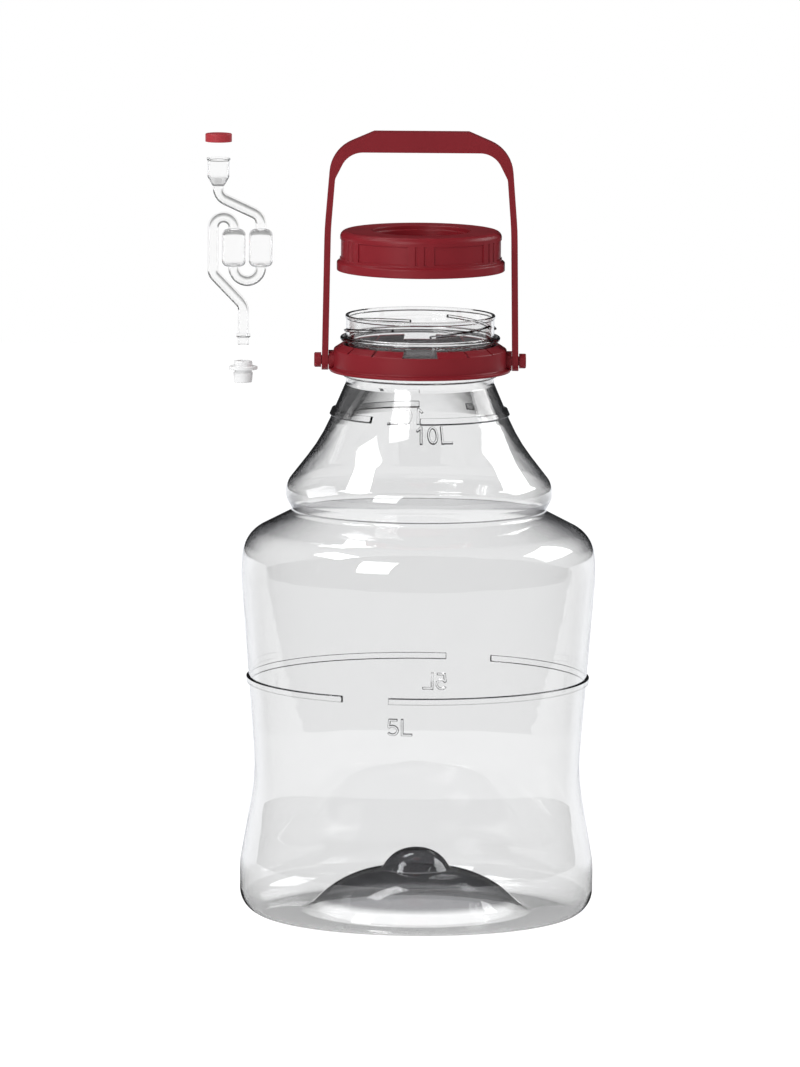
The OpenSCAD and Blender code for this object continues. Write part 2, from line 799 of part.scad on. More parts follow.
// The grommet hangs under the stem. Its groove takes the edge of the lid's hole.
groove_h = lid_wall + 0.2;
grommet_h = grommet_body_h + groove_h + grommet_hub_h;
grommet_z = airlock_z + bead_z - seat_gap - grommet_h - grommet_drop;

module grommet() {
    bore = tube_d / 2 + stem_play;
    groove_low = grommet_body_h;
    flange_low = grommet_body_h + groove_h;
    color(white_rubber)
        translate([-airlock_x, 0, grommet_z])
            rotate_extrude()
                polygon(outline([
                    [bore, 0, 0],
                    [grommet_r - 0.6, 0, 0.5],
                    [grommet_r, groove_low - 1, 0.8],
                    [grommet_r - 0.1, groove_low, 0.3],
                    [groove_r, groove_low, 0.2],
                    [groove_r, flange_low, 0.2],
                    [grommet_flange_r, flange_low, 0.5],
                    [grommet_flange_r, flange_low + 2.2, 0.9],
                    [grommet_r - 0.4, flange_low + 2.2, 0.4],
                    [grommet_r - 0.4, grommet_h, 0.6],
                    [bore, grommet_h, 0],
                ]));
}

jar();
neck_collar();
handle();
lid();
lid_seal();
airlock_tube();
airlock_cap();
grommet();
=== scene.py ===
import math

import bpy
import numpy as np
from mathutils import Matrix, Vector


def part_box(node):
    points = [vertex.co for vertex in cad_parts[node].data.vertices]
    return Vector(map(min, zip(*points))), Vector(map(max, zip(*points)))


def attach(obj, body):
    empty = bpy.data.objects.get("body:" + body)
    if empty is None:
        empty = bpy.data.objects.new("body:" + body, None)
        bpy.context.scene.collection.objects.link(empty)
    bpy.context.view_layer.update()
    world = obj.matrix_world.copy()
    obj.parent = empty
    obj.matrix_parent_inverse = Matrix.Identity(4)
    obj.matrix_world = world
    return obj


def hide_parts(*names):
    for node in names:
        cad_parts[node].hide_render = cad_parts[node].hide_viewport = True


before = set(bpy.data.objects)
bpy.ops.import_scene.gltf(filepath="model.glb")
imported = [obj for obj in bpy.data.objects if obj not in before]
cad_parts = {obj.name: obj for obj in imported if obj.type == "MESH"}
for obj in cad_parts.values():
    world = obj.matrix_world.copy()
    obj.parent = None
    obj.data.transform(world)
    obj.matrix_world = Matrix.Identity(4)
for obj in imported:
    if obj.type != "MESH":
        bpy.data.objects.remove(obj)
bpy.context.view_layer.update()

# Lengths below are in millimetres, as in the part's source, unless a name ends in _m or _M.
MM = 0.001
JAR_BODY = "jar_body"
rim_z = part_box("jar")[1].z / MM

# Jar: the driving sizes of its shell, as in the part's source.
body_h = 259.9
bell_h = 82.6
jar_wall = 0.8
neck_r = 47.3
mouth_r = 45.8
ring_r = 51.2
ring_z = rim_z - 16.7
collar_z = rim_z - 36.2
thread_z = rim_z - 7.7
neck_root_z = body_h + bell_h

# Corners of the jar's outside, from the axis under the base up to the rim: radius, height, fillet.
# A fillet takes just under half of either side at most, unless its corner gives another share.
HALF_SIDE = 0.48
MOST_OF_SIDE = 0.9
PUNT_R = 66
# The radii between which the punt's painted shade, and the painted light on the floor under it, ends.
PUNT_EDGE_M = ((PUNT_R - 6) * MM, (PUNT_R - 1) * MM)
UNDERSIDE = [
    (0, 41, 0), (13, 41, 21, MOST_OF_SIDE), (21.8, 27.8, 1.2), (45, 24.5, 75, MOST_OF_SIDE),
    (PUNT_R, 5.5, 6), (74, 0, 4),
]
SIDE = [
    (112.9, 0, 31), (113.2, 33, 60), (103.3, 90.3, 120), (113.4, body_h - 40.9, 60),
    (111.9, body_h - 16.3, 36), (80.4, body_h, 2.5), (84.9, body_h + 8.6, 8),
    (84.9, body_h + 17.8, 18), (62.9, body_h + 46.1, 110),
]
NECK = [
    (neck_r, neck_root_z, 6),
    (neck_r, collar_z - 3.3, 0.6), (49.4, collar_z - 3.3, 0.9),
    (49.4, collar_z - 0.3, 0.9), (neck_r, collar_z - 0.3, 0.6),
    (neck_r, ring_z, 0.8), (ring_r, ring_z, 1.4), (ring_r, ring_z + 3, 1.4), (neck_r, ring_z + 3, 0.8),
    (neck_r, rim_z - 2.6, 0.3), (47.9, rim_z - 2.1, 0.3), (47.9, rim_z, 1.1), (46.4, rim_z, 0),
]

# The shell's mesh: its columns round the jar, and the degrees from point to point of a fillet, fewer
# for the outline that gives the normals and carries the raised work.
COLUMNS = 180
SHELL_ARC = 5
FINE_ARC = 2.5

# Raised work: how deep it goes into the wall, and the break of its upper edges.
BURIED = 0.45
EDGE_BREAK = 0.25
# The middle of the first of the thread's four ridges, in degrees.
FIRST_RIDGE = -52

# Volume rings of two bars: height, and the start and the sweep of the first bar in degrees.
VOLUME_RINGS = [(323.4, -90, 147), (151.4, -100, 164)]
# Their marks: the word, its angle from the jar's front in degrees, and its height.
MARKS = [("10L", 9.2, 315.2), ("5L", -6.0, 134.8)]
FIGURE_H = 11.2
FRONT = -90


# Outlines
def unit(v):
    return np.asarray(v, float) / np.linalg.norm(v)


def share_of(corner):
    return corner[3] if len(corner) > 3 else HALF_SIDE


def rounded(chain, arc_step=FINE_ARC):
    """The points of a chain of corners (x, y, fillet), with its ends as they are."""
    found = [np.array(chain[0][:2], float)]
    for before, here, after in zip(chain, chain[1:], chain[2:]):
        a, b, c = (np.array(p[:2], float) for p in (before, here, after))
        to_a, to_c = unit(a - b), unit(c - b)
        turn = math.acos(max(-1, min(1, -to_a @ to_c)))
        longest = share_of(here) * min(np.linalg.norm(a - b), np.linalg.norm(c - b))
        reach = min(here[2] * math.tan(turn / 2), longest)
        if turn < 0.001 or reach < 0.001:
            found.append(b)
            continue
        radius = reach / math.tan(turn / 2)
        centre = b + unit(to_a + to_c) * radius / math.cos(turn / 2)
        start = b + to_a * reach - centre
        first = math.atan2(start[1], start[0])
        way = 1 if to_a[0] * to_c[1] - to_a[1] * to_c[0] < 0 else -1
        steps = max(2, math.ceil(math.degrees(turn) / arc_step))
        angles = first + way * turn * np.arange(steps + 1) / steps
        found.extend(centre + radius * np.stack([np.cos(angles), np.sin(angles)], 1))
    found.append(np.array(chain[-1][:2], float))
    return np.array(found)


def moved_left(chain, wall):
    """The chain moved to its left by a wall, with its fillets changed to suit."""
    moved = []
    for i, corner in enumerate(chain):
        here, fillet = np.array(corner[:2], float), corner[2]
        ways = []
        if i > 0:
            ways.append(unit(here - np.array(chain[i - 1][:2], float)))
        if i < len(chain) - 1:
            ways.append(unit(np.array(chain[i + 1][:2], float) - here))
        normals = [np.array([-w[1], w[0]]) for w in ways]
        n1, n2 = normals[0], normals[-1]
        place = here + wall * (n1 + n2) / (1 + n1 @ n2)
        turns_left = ways[0][0] * ways[-1][1] - ways[0][1] * ways[-1][0] > 0
        fillet = max(0, fillet + (-wall if turns_left else wall))
        moved.append((place[0], place[1], fillet, share_of(corner)))
    return moved


# Meshes
def new_piece(name, points, faces):
    """A mesh piece from points in millimetres."""
    mesh = bpy.data.meshes.new(name)
    mesh.from_pydata([tuple(p) for p in np.asarray(points, float) * MM], [], faces)
    mesh.update()
    piece = bpy.data.objects.new(name, mesh)
    bpy.context.scene.collection.objects.link(piece)
    return piece


def turned(name, outline, columns):
    """A lathe piece from an open outline that starts and ends on the axis."""
    angles = 2 * math.pi * np.arange(columns) / columns
    points, rows = [], []
    for r, z in outline:
        if r < 1e-6:
            rows.append([len(points)])
            points.append((0, 0, z))
        else:
            rows.append(list(range(len(points), len(points) + columns)))
            points.extend(zip(r * np.cos(angles), r * np.sin(angles), np.full(columns, z)))
    faces = []
    for low, high in zip(rows, rows[1:]):
        for i in range(columns):
            j = (i + 1) % columns
            corners = [low[i % len(low)], low[j % len(low)], high[j % len(high)], high[i % len(high)]]
            faces.append(list(dict.fromkeys(corners)))
    return new_piece(name, points, faces)


class Wall:
    """The jar's outer wall, as a surface to put raised work on."""

    def __init__(self, outline):
        self.outline = outline
        steps = np.diff(outline, axis=0)
        tangents = np.vstack([steps[:1], steps[:-1] + steps[1:], steps[-1:]])
        tangents /= np.linalg.norm(tangents, axis=1)[:, None]
        self.normals = np.stack([tangents[:, 1], -tangents[:, 0]], 1)

    def nearest(self, rz):
        """For points (r, z): their distance from the outline, and the outline's normal there."""
        a, b = self.outline[:-1], self.outline[1:]
        way = b - a
        share = np.einsum("nmk,mk->nm", rz[:, None] - a[None], way) / (way * way).sum(1)
        share = np.clip(share, 0, 1)
        gaps = np.linalg.norm(rz[:, None] - (a[None] + share[..., None] * way[None]), axis=2)
        best = gaps.argmin(1)
        rows = np.arange(len(rz))
        t = share[rows, best][:, None]
        normals = self.normals[best] * (1 - t) + self.normals[best + 1] * t
        return gaps[rows, best], normals / np.linalg.norm(normals, axis=1)[:, None]


bottom_and_side = UNDERSIDE + SIDE
inner_neck = [(mouth_r, neck_root_z - 1, 6), (mouth_r, rim_z - 0.6, 0)]
inner_chain = moved_left(bottom_and_side, jar_wall) + inner_neck


def shell_outline(arc_step):
    """The outside up to the rim, and the inside back down to the axis."""
    outside = rounded(bottom_and_side + NECK, arc_step)
    return np.vstack([outside, rounded(inner_chain, arc_step)[::-1]])


# The side alone rises all the way, so a height there has one radius.
side_outline = rounded([(112.9, 30, 0)] + SIDE[2:] + [(neck_r, neck_root_z, 0)])
neck_line = np.array([[neck_r, ring_z + 3.8], [neck_r, rim_z - 3]])


def radius_at(line, z):
    """The radius of a wall of revolution at a height."""
    return float(np.interp(z, line[:, 1], line[:, 0]))


def on_wall(line, angle, z, lift):
    """A point of a wall of revolution, at an angle in radians and a height, lifted off it."""
    step = 0.5
    slope = (radius_at(line, z + step) - radius_at(line, z - step)) / (2 * step)
    normal = unit((1, -slope))
    r, z = radius_at(line, z) + lift * normal[0], z + lift * normal[1]
    return (r * math.cos(angle), r * math.sin(angle), z)


def raised_strip(name, line, angle, z, path, width, proud, draft, end_round):
    """A flat-topped strip along a path of (along, up) points on a wall of revolution.

    Its sides and ends lean in by the draft, and its foot is buried in the wall.
    """
    path = np.asarray(path, float)
    r = radius_at(line, z)
    gone = np.concatenate([[0], np.cumsum(np.linalg.norm(np.diff(path, axis=0), axis=1))])
    length = gone[-1]
    near_end = end_round * (1 - np.cos(np.linspace(0, math.pi / 2, 5)))
    stops = np.unique(np.round(np.concatenate([gone, near_end, length - near_end]), 4))
    edge = min(EDGE_BREAK, width / 6)
    layers = [(-BURIED, 0), (0, 0), (proud - edge, draft * proud), (proud, draft * proud + edge)]
    close, least = 0.05, 0.0001

    def along(s):
        return np.array([np.interp(s, gone, path[:, k]) for k in (0, 1)])

    points, loops = [], []
    for lift, inset in layers:
        left, right = [], []
        for stop in stops:
            s = inset + (length - 2 * inset) * stop / length
            here = along(s)
            way = unit(along(min(s + close, length)) - along(max(s - close, 0)))
            across = np.array([-way[1], way[0]])
            short = max(0.0, end_round - min(stop, length - stop))
            bulge = math.sqrt(max(end_round ** 2 - short ** 2, least))
            half = width / 2 - inset - end_round + bulge
            for side, row in ((1, left), (-1, right)):
                u, v = here + across * side * half
                row.append(on_wall(line, angle + u / r, z + v, lift))
        loop = left + right[::-1]
        loops.append(range(len(points), len(points) + len(loop)))
        points.extend(loop)
    n, count = len(loops[0]), len(stops)
    faces = [
        (low[i], high[i], high[(i + 1) % n], low[(i + 1) % n])
        for low, high in zip(loops, loops[1:]) for i in range(n)
    ]
    for loop, top in ((loops[0], False), (loops[-1], True)):
        for i in range(count - 1):
            quad = (loop[i], loop[i + 1], loop[n - 2 - i], loop[n - 1 - i])
            faces.append(quad[::-1] if top else quad)
    return new_piece(name, points, faces)


def arc(centre, radii, first, last, count):
    """Points of an ellipse's arc, with its angles in degrees."""
    angles = np.radians(np.linspace(first, last, count))
    return [(centre[0] + radii[0] * math.cos(t), centre[1] + radii[1] * math.sin(t)) for t in angles]


# The figures of the graduation for a height of 1: how far each one advances, and its strokes.
FIGURES = {
    "1": (0.60, [[(0.26, 0.0), (0.26, 1.0)], [(0.0, 0.70), (0.27, 0.94)]]),
    "0": (0.77, [arc((0.32, 0.5), (0.24, 0.42), 80, 280, 20),
                 arc((0.32, 0.5), (0.24, 0.42), -100, 100, 20)]),
    "5": (0.78, [[(0.11, 0.92), (0.60, 0.92)], [(0.15, 0.98), (0.09, 0.46)],
                 arc((0.31, 0.32), (0.28, 0.25), 150, -150, 26)]),
    "L": (0.68, [[(0.08, 0.0), (0.08, 1.0)], [(0.02, 0.08), (0.66, 0.08)]]),
}


def graduation(word, angle, z, height):
    """The strips of a word of the graduation, centred at an angle and a height on the side."""
    form = {"width": 0.155 * height, "proud": 1.0, "draft": 0.22, "end_round": 0.25}
    left = -sum(FIGURES[c][0] for c in word) * height / 2
    strips = []
    for c in word:
        advance, strokes = FIGURES[c]
        for line in strokes:
            path = [(left + x * height, (y - 0.5) * height) for x, y in line]
            strips.append(raised_strip("stroke", side_outline, angle, z, path, **form))
        left += advance * height
    return strips


def ring_bar(z, first, sweep):
    """One bar of a volume ring, from an angle over a sweep, in degrees."""
    length = math.radians(sweep) * radius_at(side_outline, z)
    path = [(s, 0) for s in np.linspace(0, length, round(sweep))]
    return raised_strip(
        "bar", side_outline, math.radians(first), z, path,
        width=4.4, proud=1.6, draft=0.2, end_round=0.5)


def thread_ridge(middle):
    """One slanted ridge of the neck's thread."""
    slope, half_sweep = math.tan(math.radians(4.6)), math.radians(31)
    turns = np.linspace(-half_sweep, half_sweep, 60)
    path = [(neck_r * t, neck_r * math.sin(t) * slope) for t in turns]
    return raised_strip(
        "ridge", neck_line, math.radians(middle), thread_z, path,
        width=2.4, proud=1.95, draft=0.28, end_round=0.9)


def apply_modifiers(piece):
    evaluated = piece.evaluated_get(bpy.context.evaluated_depsgraph_get())
    piece.data = bpy.data.meshes.new_from_object(evaluated)
    piece.modifiers.clear()


def unite(piece, parts):
    """Unites the parts to the piece."""
    group = bpy.data.collections.new("parts")
    for part in parts:
        group.objects.link(part)
    modifier = piece.modifiers.new("union", "BOOLEAN")
    modifier.operation = "UNION"
    modifier.solver = "MANIFOLD"
    modifier.operand_type = "COLLECTION"
    modifier.collection = group
    apply_modifiers(piece)
    for part in parts:
        bpy.data.objects.remove(part)
    bpy.data.collections.remove(group)


def vectors(items, attribute):
    """A vector of each of a mesh's items, one row each."""
    values = np.zeros(len(items) * 3, np.float32)
    items.foreach_get(attribute, values)
    return values.reshape(-1, 3)


def numbers(items, attribute, kind=np.int32):
    """A number of each of a mesh's items."""
    values = np.zeros(len(items), kind)
    items.foreach_get(attribute, values)
    return values


def set_corner_normals(mesh, normals):
    mesh.normals_split_custom_set([tuple(n) for n in normals])


# The wall's own faces lie this near to its outline and turn from it by fewer degrees than this. An
# edge is sharp, and a side of the raised work is steep, from these angles on. A steep side reaches
# this far off the wall at least.
ON_WALL = 0.05
WALL_TURN = 12
SHARP_FROM = 32
STEEP_FROM = 30
STANDS_OFF = 0.3


def true_normals(piece, wall):
    """Gives the shell the exact normals of its outline, and the raised work its own.

    The steep sides of the raised work take the piece's second material, a near-black glass that paints
    their dark outlines.
    """
    mesh = piece.data
    mesh.shade_smooth()
    mesh.set_sharp_from_angle(angle=math.radians(SHARP_FROM))
    co = vectors(mesh.vertices, "co") / MM
    r = np.hypot(co[:, 0], co[:, 1])
    rz, back = np.unique(np.round(np.stack([r, co[:, 2]], 1), 3), axis=0, return_inverse=True)
    back = back.ravel()
    # A few thousand points at a time keep the table of distances small.
    found = [wall.nearest(part) for part in np.array_split(rz, 1 + len(rz) // 4000)]
    gaps, flat = (np.concatenate(x) for x in zip(*found))
    around = co[:, :2] / np.maximum(r, 1e-6)[:, None]
    shell = np.column_stack([around * flat[back][:, :1], flat[back][:, 1]])
    sizes = numbers(mesh.polygons, "loop_total")
    face = np.repeat(vectors(mesh.polygon_normals, "vector"), sizes, axis=0)
    vertex = numbers(mesh.loops, "vertex_index")
    gap, along = gaps[back][vertex], (face * shell[vertex]).sum(1)
    fits = (gap < ON_WALL) & (along > math.cos(math.radians(WALL_TURN)))
    corner = vectors(mesh.corner_normals, "vector")
    set_corner_normals(mesh, np.where(fits[:, None], shell[vertex], corner))
    first = np.concatenate([[0], np.cumsum(sizes)[:-1]])
    steep = np.maximum.reduceat(along, first) < math.cos(math.radians(STEEP_FROM))
    stands_off = np.maximum.reduceat(gap, first) > STANDS_OFF
    mesh.polygons.foreach_set("material_index", (steep & stands_off).astype(np.int32))


# CAD faces that meet at less than this many degrees are shaded as one.
SOFT_LIMIT = 36


def soften(piece):
    """Smooth shading across the CAD faces of a node, weighted by area."""
    mesh = piece.data
    mesh.shade_smooth()
    vertex = numbers(mesh.loops, "vertex_index")
    place = np.round(vectors(mesh.vertices, "co")[vertex] / MM, 3)
    sizes = numbers(mesh.polygons, "loop_total")
    normal = np.repeat(vectors(mesh.polygon_normals, "vector"), sizes, axis=0).astype(float)
    area = numbers(mesh.polygons, "area", np.float32)
    weight = np.repeat(area, sizes).astype(float)[:, None]
    group = np.unique(place, axis=0, return_inverse=True)[1].ravel()
    order = np.argsort(group, kind="stable")
    group, normal, weight = group[order], normal[order], weight[order]
    total = normal * weight
    close = math.cos(math.radians(SOFT_LIMIT))
    for shift in range(1, int(np.bincount(group).max())):
        same = group[shift:] == group[:-shift]
        dots = (normal[shift:] * normal[:-shift]).sum(1)
        use = (same & (dots > close))[:, None]
        total[shift:] += np.where(use, normal[:-shift] * weight[:-shift], 0)
        total[:-shift] += np.where(use, normal[shift:] * weight[shift:], 0)
    lengths = np.linalg.norm(total, axis=1)[:, None]
    total = np.where(lengths > 1e-12, total / np.maximum(lengths, 1e-12), normal)
    result = np.zeros_like(total)
    result[order] = total
    set_corner_normals(mesh, result)


# Shader trees
class Value:
    """A socket of a shader tree that stands in Python expressions."""

    def __init__(self, tree, socket):
        self.tree, self.socket = tree, socket

    def maths(self, operation, *values):
        return self.tree.add("ShaderNodeMath", {"operation": operation}, dict(enumerate(values)))

    def __add__(self, other):
        return self.maths("ADD", self, other)

    def __radd__(self, other):
        return self.maths("ADD", other, self)

    def __sub__(self, other):
        return self.maths("SUBTRACT", self, other)

    def __rsub__(self, other):
        return self.maths("SUBTRACT", other, self)

    def __mul__(self, other):
        return self.maths("MULTIPLY", self, other)

    def __rmul__(self, other):
        return self.maths("MULTIPLY", other, self)

    def larger(self, other):
        return self.maths("MAXIMUM", self, other)

    def size(self):
        return self.maths("ABSOLUTE", self)

    def smooth(self, low, high):
        """0 below low, 1 above high, smooth between."""
        return self.tree.add(
            "ShaderNodeMapRange", {"interpolation_type": "SMOOTHSTEP"},
            {"Value": self, "From Min": low, "From Max": high})


class Tree:
    """The nodes of one material or world."""

    def __init__(self, owner):
        owner.use_nodes = True
        self.owner = owner
        self.nodes, self.links = owner.node_tree.nodes, owner.node_tree.links
        self.nodes.clear()

    def add(self, kind, settings=(), inputs=(), output=0):
        """A node with its settings and the values or links of its sockets; gives an output, if any."""
        node = self.nodes.new(kind)
        for name, value in dict(settings).items():
            setattr(node, name, value)
        for name, value in dict(inputs).items():
            if isinstance(value, Value):
                self.links.new(value.socket, node.inputs[name])
            else:
                node.inputs[name].default_value = value
        return Value(self, node.outputs[output]) if node.outputs else None

    def place(self):
        return self.add("ShaderNodeTexCoord", output="Object")

    def normal(self):
        return self.add("ShaderNodeTexCoord", output="Normal")

    def vector_maths(self, operation, *values, output=0):
        return self.add(
            "ShaderNodeVectorMath", {"operation": operation}, dict(enumerate(values)), output)

    def part_of(self, vector, axis):
        """A vector's X, Y or Z."""
        return self.add("ShaderNodeSeparateXYZ", (), {"Vector": vector}, axis)

    def from_axis(self):
        """The level way from the jar's axis to the place, in metres."""
        return self.vector_maths("MULTIPLY", self.place(), (1, 1, 0))

    def distance_m(self):
        """Distance from the jar's axis, in metres."""
        return self.vector_maths("LENGTH", self.from_axis(), output="Value")

    def height_m(self):
        """Height over the floor, in metres."""
        return self.part_of(self.place(), "Z")

    def outward(self):
        """The direction away from the jar's axis."""
        return self.vector_maths("NORMALIZE", self.from_axis())

    def faces_axis(self):
        """1 where a surface faces the jar's axis, 0 where it faces up, down or away."""
        away = self.vector_maths("DOT_PRODUCT", self.outward(), self.normal(), output="Value")
        return (0 - away).smooth(0.3, 0.6)

    def within_punt(self):
        """1 nearer to the axis than the punt's foot, 0 farther out."""
        return 1 - self.distance_m().smooth(*PUNT_EDGE_M)

    def noise(self, scale, detail):
        """Noise from 0 to 1 over the object, with about scale cells in a metre."""
        return self.add(
            "ShaderNodeTexNoise", (), {"Vector": self.place(), "Scale": scale, "Detail": detail})

    def blend_colours(self, share, one, other):
        """The one colour where the share is 0, the other where it is 1."""
        one, other = ((*c, 1) if isinstance(c, tuple) else c for c in (one, other))
        return self.add(
            "ShaderNodeMix", {"data_type": "RGBA"}, {"Factor": share, 6: one, 7: other}, output=2)

    def bump(self, height, strength, distance_mm):
        return self.add("ShaderNodeBump", (), {
            "Height": height, "Strength": strength, "Distance": distance_mm * MM})

    def glow(self, colour, strength):
        return self.add("ShaderNodeEmission", (), {"Color": (*colour, 1), "Strength": strength})

    def mix(self, share, one, other):
        """The one shader where the share is 0, the other where it is 1."""
        return self.add("ShaderNodeMixShader", (), {0: share, 1: one, 2: other})

    def surface(self, shader, kind="ShaderNodeOutputMaterial"):
        """Ends the tree with a shader, and gives its material or world."""
        self.add(kind, (), {"Surface": shader})
        return self.owner


def finish(name):
    return Tree(bpy.data.materials.new(name))


def linear(r, g, b):
    """A colour given in the 0 to 255 steps of a screen, as linear light."""
    return tuple(((c / 255 + 0.055) / 1.055) ** 2.4 for c in (r, g, b))


# Heights up to which the punt's painted shade reaches, and from which the painted edge shade does, in
# metres.
PUNT_TOP_M = (0.05, 0.06)
BELL_FOOT_M = (0.2, 0.22)
# Where the painted edge shade sets in, for the dark that the glass mirrors at its edges: from the share
# that a surface is turned from the eye, and its lean.
EDGE = (0.5, 0.8)
LEAN = (0.22, 0.42)
PAINTED_EDGE_SHADE = (0.16, 0.16, 0.17)


def clear_plastic(name, tint, ior, roughness, shadow, veil, thin=0.0, painted_punt_shade=None):
    """Clear plastic, with slow waves in its blown wall.

    Shadow is the share of a shadow's light that crosses it unbent and tinted by the veil, and thin
    is that share of all light. With a painted shade for the punt, the edges of what leans get a
    painted dark shade as well, for the dark that the glass mirrors there.
    """
    t = finish(name)
    waves = t.noise(scale=38, detail=2)
    grain = t.noise(scale=420, detail=3)
    colour = t.blend_colours(waves, tint, tuple(c * 0.985 for c in tint))
    # Painted shade: the punt's colour turns dark grey up to a low height, for the dark that its curves
    # bend and mirror.
    if painted_punt_shade:
        low_down = 1 - t.height_m().smooth(*PUNT_TOP_M)
        colour = t.blend_colours(t.within_punt() * low_down, colour, painted_punt_shade)
        # Painted shade: leaning walls turn near-black where they turn far from the eye, for the dark
        # mirrored at their edges.
        grazing = t.add("ShaderNodeLayerWeight", (), {"Blend": 0.5}, output="Facing").smooth(*EDGE)
        leans = t.part_of(t.normal(), "Z").size().smooth(*LEAN)
        high_up = t.height_m().smooth(*BELL_FOOT_M)
        colour = t.blend_colours(grazing * leans * high_up, colour, PAINTED_EDGE_SHADE)
    shader = t.add("ShaderNodeBsdfPrincipled", (), {
        "Base Color": colour,
        "Roughness": roughness + roughness * grain,
        "Transmission Weight": 1.0,
        "IOR": ior,
        "Normal": t.bump(waves, strength=0.25, distance_mm=0.25),
    })
    straight = t.add("ShaderNodeBsdfTransparent", (), {"Color": (*veil, 1)})
    is_shadow = t.add("ShaderNodeLightPath", output="Is Shadow Ray")
    unbent = (is_shadow * shadow).larger(thin)
    return t.surface(t.mix(unbent, shader, straight))


def red_plastic(name, bright, deep, inside=None):
    """Red moulded plastic with a satin skin. What faces the jar's axis can take a painted shade."""
    t = finish(name)
    clouds = t.noise(scale=60, detail=4)
    grain = t.noise(scale=2600, detail=2)
    skin = t.noise(scale=520, detail=3)
    colour = t.blend_colours(clouds, bright, deep)
    # Painted shade: faces towards the jar's axis turn dark, as if in shadow.
    if inside:
        colour = t.blend_colours(t.faces_axis(), colour, inside)
    return t.surface(t.add("ShaderNodeBsdfPrincipled", (), {
        "Base Color": colour,
        "Roughness": 0.34 + 0.10 * skin,
        "IOR": 1.49,
        "Specular IOR Level": 0.3,
        "Normal": t.bump(0.6 * grain + 0.4 * skin, strength=0.35, distance_mm=0.05),
    }))


def soft_rubber(name, colour, shade, roughness):
    """Matt rubber with a fine grain and faint clouds from the colour to its shade."""
    t = finish(name)
    clouds = t.noise(scale=220, detail=4)
    grain = t.noise(scale=3000, detail=2)
    return t.surface(t.add("ShaderNodeBsdfPrincipled", (), {
        "Base Color": t.blend_colours(clouds, colour, shade),
        "Roughness": roughness + 0.12 * clouds,
        "IOR": 1.45,
        "Normal": t.bump(grain, strength=0.3, distance_mm=0.06),
    }))


def dress(piece, *materials):
    piece.data.materials.clear()
    for material in materials:
        piece.data.materials.append(material)


# Jar
jar_shell = turned("jar_shell", shell_outline(SHELL_ARC), COLUMNS)
raised_work = [
    ring_bar(z, first + half, sweep) for z, first, sweep in VOLUME_RINGS for half in (0, 180)]
raised_work += [thread_ridge(FIRST_RIDGE + 90 * k) for k in range(4)]
for half in (0, math.pi):
    for word, turn, z in MARKS:
        raised_work += graduation(word, half + math.radians(FRONT + turn), z, FIGURE_H)
unite(jar_shell, raised_work)
shadow_tint = (0.94, 0.945, 0.95)
dress(
    jar_shell,
    # Painted shade: the jar's glass turns dark grey in its punt and near-black at the edges of its
    # leaning walls.
    clear_plastic(
        "clear_jar", tint=(0.955, 0.957, 0.959), ior=1.62, roughness=0.004, shadow=0.92,
        veil=shadow_tint, painted_punt_shade=(0.32, 0.32, 0.33)),
    # Painted shade: the steep sides of the raised work take near-black glass, for the dark outlines
    # that they bend and mirror.
    clear_plastic(
        "clear_jar_painted_dark_edge", tint=(0.06, 0.06, 0.065), ior=1.5, roughness=0.004, shadow=0.92,
        veil=shadow_tint))
true_normals(jar_shell, Wall(shell_outline(FINE_ARC)))
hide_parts("jar")
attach(jar_shell, JAR_BODY)

# Pieces that keep their solid from the frame.
red, deep_red = linear(138, 32, 41), linear(128, 27, 36)
red_finish = red_plastic("red_moulding", red, deep_red)
finishes = {
    # The collar's faces towards the axis take a painted shade, dark grey.
    "neck_collar": red_plastic("red_collar", red, deep_red, inside=linear(58, 46, 48)),
    "handle": red_finish,
    "lid": red_finish,
    "airlock_cap": red_plastic("red_cap", linear(184, 62, 70), linear(172, 54, 62)),
    "lid_seal": soft_rubber("gasket_grey", linear(205, 205, 200), linear(190, 190, 186), 0.5),
    "airlock_tube": clear_plastic(
        "clear_airlock", tint=(0.985, 0.985, 0.985), ior=1.1, roughness=0.004, shadow=0.95,
        veil=(0.99, 0.99, 0.99), thin=0.3),
    "grommet": soft_rubber("white_rubber", linear(246, 246, 246), linear(238, 238, 239), 0.45),
}
for name, material in finishes.items():
    soften(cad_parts[name])
    dress(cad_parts[name], material)


# Studio: the fill on all but gloss and glass, and what gloss mirrors: a cool white behind the jar,
# a dim one elsewhere, and the dark.
FILL = 0.42
WHITE = (1, 1, 1)
COOL_WHITE = (0.93, 0.95, 1.0)
DIM = 0.2
DARK = 0.03
# Where behind the jar starts, as the sine of the angle from its side.
BEHIND = (0.5, 0.8)
# How near to the jar's axis gloss sees a painted shadow on the floor, mirrored dark, in metres.
PAINTED_SHADOW_M = (0.13, 0.45)
# Where the dark room starts, as the sine of the angle over the horizon.
HORIZON = (-0.085, -0.066)
# How white the floor glows for the camera, and for what is seen through the punt, where the stronger
# glow is painted light; and the glow's share in what the camera sees of it. The rest takes the shadow.
CAMERA_WHITE = 1.17
PAINTED_PUNT_GLOW = 1.3
UNSHADED = 0.8


def ray_kinds(t):
    """Whether a ray comes from the camera, from a mirroring surface, or through clear plastic."""
    camera = t.add("ShaderNodeLightPath", output="Is Camera Ray")
    through = t.add("ShaderNodeLightPath", output="Is Transmission Ray")
    mirrored = t.add("ShaderNodeLightPath", output="Is Glossy Ray") * (1 - through)
    return camera, through, mirrored


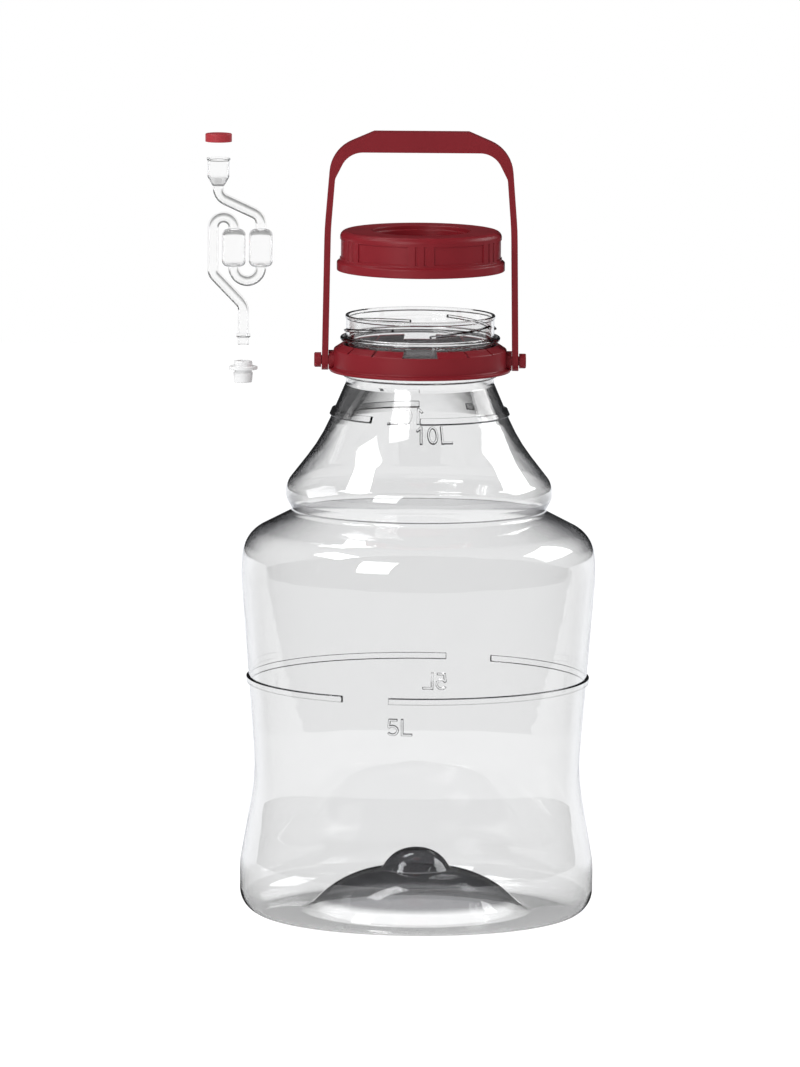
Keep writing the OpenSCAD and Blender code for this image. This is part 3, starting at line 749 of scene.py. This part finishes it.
def pale_floor():
    """White where it is seen straight or through clear plastic, with a share of its shadow left.

    Gloss mirrors it as a cool white behind the jar, dimmer before it, and as a painted shadow, dark,
    close round the jar.
    The punt's painted shade is made up for by painted light: the floor glows stronger under it.
    """
    t = finish("pale_floor")
    camera, through, mirrored = ray_kinds(t)
    # Painted shadow: gloss sees the floor dark close round the jar.
    near = 1 - t.distance_m().smooth(*PAINTED_SHADOW_M)
    behind = t.part_of(t.outward(), "Y").smooth(*BEHIND)
    clouds = t.noise(scale=3, detail=2)
    matte = t.add("ShaderNodeBsdfPrincipled", (), {
        "Base Color": t.blend_colours(clouds, (0.93, 0.93, 0.93), (0.91, 0.91, 0.91)),
        "Roughness": 0.9,
        "Specular IOR Level": 0.2,
    })
    straight = t.mix(UNSHADED * camera, matte, t.glow(WHITE, CAMERA_WHITE))
    # Painted light: through the plastic, the floor glows stronger under the punt.
    clear = t.mix(t.within_punt(), t.glow(WHITE, 1), t.glow(WHITE, PAINTED_PUNT_GLOW))
    far = t.mix(behind, t.glow(COOL_WHITE, DIM), t.glow(COOL_WHITE, 1))
    gloss = t.mix(near, far, t.glow(COOL_WHITE, DARK))
    return t.surface(t.mix(mirrored, t.mix(through, straight, clear), gloss))


def studio_world():
    """White below the horizon, a dark room over it for gloss and glass, and a plain fill for the rest.

    Gloss mirrors the white behind the jar in full, and dimmer all the rest.
    """
    t = Tree(bpy.data.worlds.new("studio"))
    direction = t.add("ShaderNodeTexCoord", output="Generated")
    behind = t.part_of(direction, "Y").smooth(*BEHIND)
    room = t.part_of(direction, "Z").smooth(*HORIZON)
    camera, through, mirrored = ray_kinds(t)
    white = through + mirrored * (DIM + (1 - DIM) * behind)
    rest = FILL * (1 - through) * (1 - mirrored)
    level = (white * (1 - (1 - DARK) * room) + rest).larger(camera)
    colour = t.blend_colours(mirrored, WHITE, COOL_WHITE)
    shader = t.add("ShaderNodeBackground", (), {"Color": colour, "Strength": level})
    bpy.context.scene.world = t.surface(shader, "ShaderNodeOutputWorld")


BELL_CENTRE_M = Vector((0, 0, 0.3))
LAMP_DISTANCE_M = 2.6


def softbox(name, direction, width, height, watts):
    """A soft lamp that faces the jar's bell from a direction, with its size in metres."""
    lamp = bpy.data.lights.new(name, "AREA")
    lamp.shape = "RECTANGLE"
    lamp.size, lamp.size_y = width, height
    lamp.energy = watts
    box = bpy.data.objects.new(name, lamp)
    bpy.context.scene.collection.objects.link(box)
    away = Vector(direction).normalized()
    box.location = BELL_CENTRE_M + away * LAMP_DISTANCE_M
    box.rotation_mode = "QUATERNION"
    box.rotation_quaternion = away.to_track_quat("Z", "Y")
    box.visible_camera = False


floor_mesh = bpy.data.meshes.new("floor")
reach_m, under_m = 3.2, -0.0004
sides = ((-1, -1), (1, -1), (1, 1), (-1, 1))
floor_mesh.from_pydata([(x * reach_m, y * reach_m, under_m) for x, y in sides], [], [(0, 1, 2, 3)])
floor = bpy.data.objects.new("floor", floor_mesh)
bpy.context.scene.collection.objects.link(floor)
dress(floor, pale_floor())

studio_world()
softbox("left_box", (-0.64, -0.147, 0.755), width=0.95, height=0.8, watts=16)
softbox("front_box", (-0.45, -0.78, 0.44), width=1.0, height=1.9, watts=28)
softbox("right_box", (0.80, 0.33, 0.50), width=1.6, height=1.2, watts=24)
softbox("back_box", (-0.27, 0.46, 0.85), width=1.0, height=0.5, watts=8)


# Camera: the photograph's view, from the places of the jar's axis and heights in it.
PHOTO_W, PHOTO_H = 800, 1067
mm_per_pixel = 0.64
focal_pixels = 13000
looks_down = math.radians(7.35)
roll = math.radians(0.43)
axis_pixel_x = 418.75
centre_height = 244.9
distance_m = focal_pixels * mm_per_pixel * MM
aim = Vector(((PHOTO_W / 2 - axis_pixel_x) * mm_per_pixel * MM, 0, centre_height * MM))
forward = Vector((0, math.cos(looks_down), -math.sin(looks_down)))
level_up = Vector((0, math.sin(looks_down), math.cos(looks_down)))
up = level_up * math.cos(roll) - Vector((1, 0, 0)) * math.sin(roll)
right = forward.cross(up)
camera_data = bpy.data.cameras.new("photo_view")
camera_data.sensor_width = 36
camera_data.lens = focal_pixels * camera_data.sensor_width / PHOTO_H
camera_data.clip_start, camera_data.clip_end = 0.1, 200
camera = bpy.data.objects.new("photo_view", camera_data)
bpy.context.scene.collection.objects.link(camera)
turn = Matrix((right, up, -forward)).transposed().to_4x4()
camera.matrix_world = Matrix.Translation(aim - forward * distance_m) @ turn
bpy.context.scene.camera = camera

bpy.context.scene.view_settings.view_transform = "Standard"
